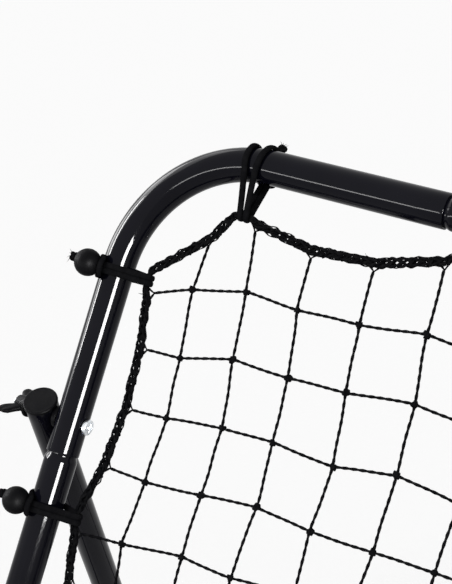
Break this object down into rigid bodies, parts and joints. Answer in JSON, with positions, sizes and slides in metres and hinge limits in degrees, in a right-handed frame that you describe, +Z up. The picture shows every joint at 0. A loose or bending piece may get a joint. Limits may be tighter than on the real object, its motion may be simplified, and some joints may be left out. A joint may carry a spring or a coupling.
{
  "type": "rebound training net",
  "caption": "Football rebound net: a leaning tube panel with a knotted net on elastic ball ties, held by swinging props over a floor base with an adjustable lean.",
  "frame": {"origin": "bottom centre of the bounding box, on the ground", "axes": "+X to the user's right seen from the kicking side, +Y to the rear, +Z up"},
  "size_m": [0.9818, 0.7822, 0.7605],
  "materials": {
    "frame_steel": "gloss black coating on steel tube",
    "zinc_hardware": "bright zinc plating",
    "black_plastic": "moulded black plastic with a fine texture",
    "foot_rubber": "matt black rubber",
    "net_twine": "twisted black synthetic twine",
    "tie_elastic": "black braided elastic cord, with a black plastic ball"
  },
  "bodies": {
    "base": {"front_rail_left": "frame_steel", "front_rail_right": "frame_steel", "rear_corner_tube_left": "frame_steel", "rear_corner_tube_right": "frame_steel", "rear_bar": "frame_steel", "front_foot_left": "foot_rubber", "front_foot_right": "foot_rubber", "rear_foot_left": "foot_rubber", "rear_foot_right": "foot_rubber", "hinge_bolt_left": "zinc_hardware", "hinge_bolt_right": "zinc_hardware", "hinge_sleeve_left": "zinc_hardware", "hinge_sleeve_right": "zinc_hardware", "hinge_nut_left": "zinc_hardware", "hinge_nut_right": "zinc_hardware"},
    "panel": {"top_rail": "frame_steel", "upper_corner_tube_left": "frame_steel", "upper_corner_tube_right": "frame_steel", "lower_side_tube_left": "frame_steel", "lower_side_tube_right": "frame_steel", "side_tube_cap_left": "black_plastic", "side_tube_cap_right": "black_plastic", "bottom_crossbar": "frame_steel", "crossbar_bolt_left": "zinc_hardware", "crossbar_bolt_right": "zinc_hardware", "pivot_bolt_left": "zinc_hardware", "pivot_bolt_right": "zinc_hardware", "pivot_spacer_left": "black_plastic", "pivot_spacer_right": "black_plastic", "net": "net_twine", "top_tie_1": "tie_elastic", "top_tie_2": "tie_elastic", "top_tie_3": "tie_elastic", "top_tie_4": "tie_elastic", "top_tie_5": "tie_elastic", "bottom_tie_1": "tie_elastic", "bottom_tie_2": "tie_elastic", "bottom_tie_3": "tie_elastic", "bottom_tie_4": "tie_elastic", "bottom_tie_5": "tie_elastic", "left_tie_1": "tie_elastic", "left_tie_2": "tie_elastic", "left_tie_3": "tie_elastic", "left_tie_4": "tie_elastic", "right_tie_1": "tie_elastic", "right_tie_2": "tie_elastic", "right_tie_3": "tie_elastic", "right_tie_4": "tie_elastic"},
    "prop_left": {"prop_tube_left": "frame_steel", "prop_top_cap_left": "black_plastic", "prop_foot_cap_left": "black_plastic", "foot_bolt_left": "zinc_hardware"},
    "prop_right": {"prop_tube_right": "frame_steel", "prop_top_cap_right": "black_plastic", "prop_foot_cap_right": "black_plastic", "foot_bolt_right": "zinc_hardware"},
    "pivot_nut_left": {"pivot_wing_nut_left": "black_plastic"},
    "pivot_nut_right": {"pivot_wing_nut_right": "black_plastic"},
    "foot_nut_left": {"foot_wing_nut_left": "black_plastic"},
    "foot_nut_right": {"foot_wing_nut_right": "black_plastic"}
  },
  "joints": [
    {"name": "panel_tilt", "type": "hinge", "parent": "base", "child": "panel", "pos_m": [0, -0.35775, 0.022], "axis": [-1, 0, 0], "range_deg": [-5.5, 6.3]},
    {"name": "prop_swing_left", "type": "hinge", "parent": "panel", "child": "prop_left", "pos_m": [-0.4341, -0.0733, 0.55029], "axis": [1, 0, 0], "range_deg": [-13.2, 15.1]},
    {"name": "prop_swing_right", "type": "hinge", "parent": "panel", "child": "prop_right", "pos_m": [0.4341, -0.0733, 0.55029], "axis": [1, 0, 0], "range_deg": [-13.2, 15.1]},
    {"name": "pivot_nut_turn_left", "type": "hinge", "parent": "panel", "child": "pivot_nut_left", "pos_m": [-0.4341, -0.0733, 0.55029], "axis": [-1, 0, 0], "continuous": true},
    {"name": "pivot_nut_turn_right", "type": "hinge", "parent": "panel", "child": "pivot_nut_right", "pos_m": [0.4341, -0.0733, 0.55029], "axis": [1, 0, 0], "continuous": true},
    {"name": "foot_nut_turn_left", "type": "hinge", "parent": "prop_left", "child": "foot_nut_left", "pos_m": [-0.4594, 0.13175, 0.022], "axis": [-1, 0, 0], "continuous": true},
    {"name": "foot_nut_turn_right", "type": "hinge", "parent": "prop_right", "child": "foot_nut_right", "pos_m": [0.4594, 0.13175, 0.022], "axis": [1, 0, 0], "continuous": true}
  ],
  "couplings": [
    {"joint": "prop_swing_left", "follows": "panel_tilt", "ratio": 2.372},
    {"joint": "prop_swing_right", "follows": "panel_tilt", "ratio": 2.372}
  ]
}
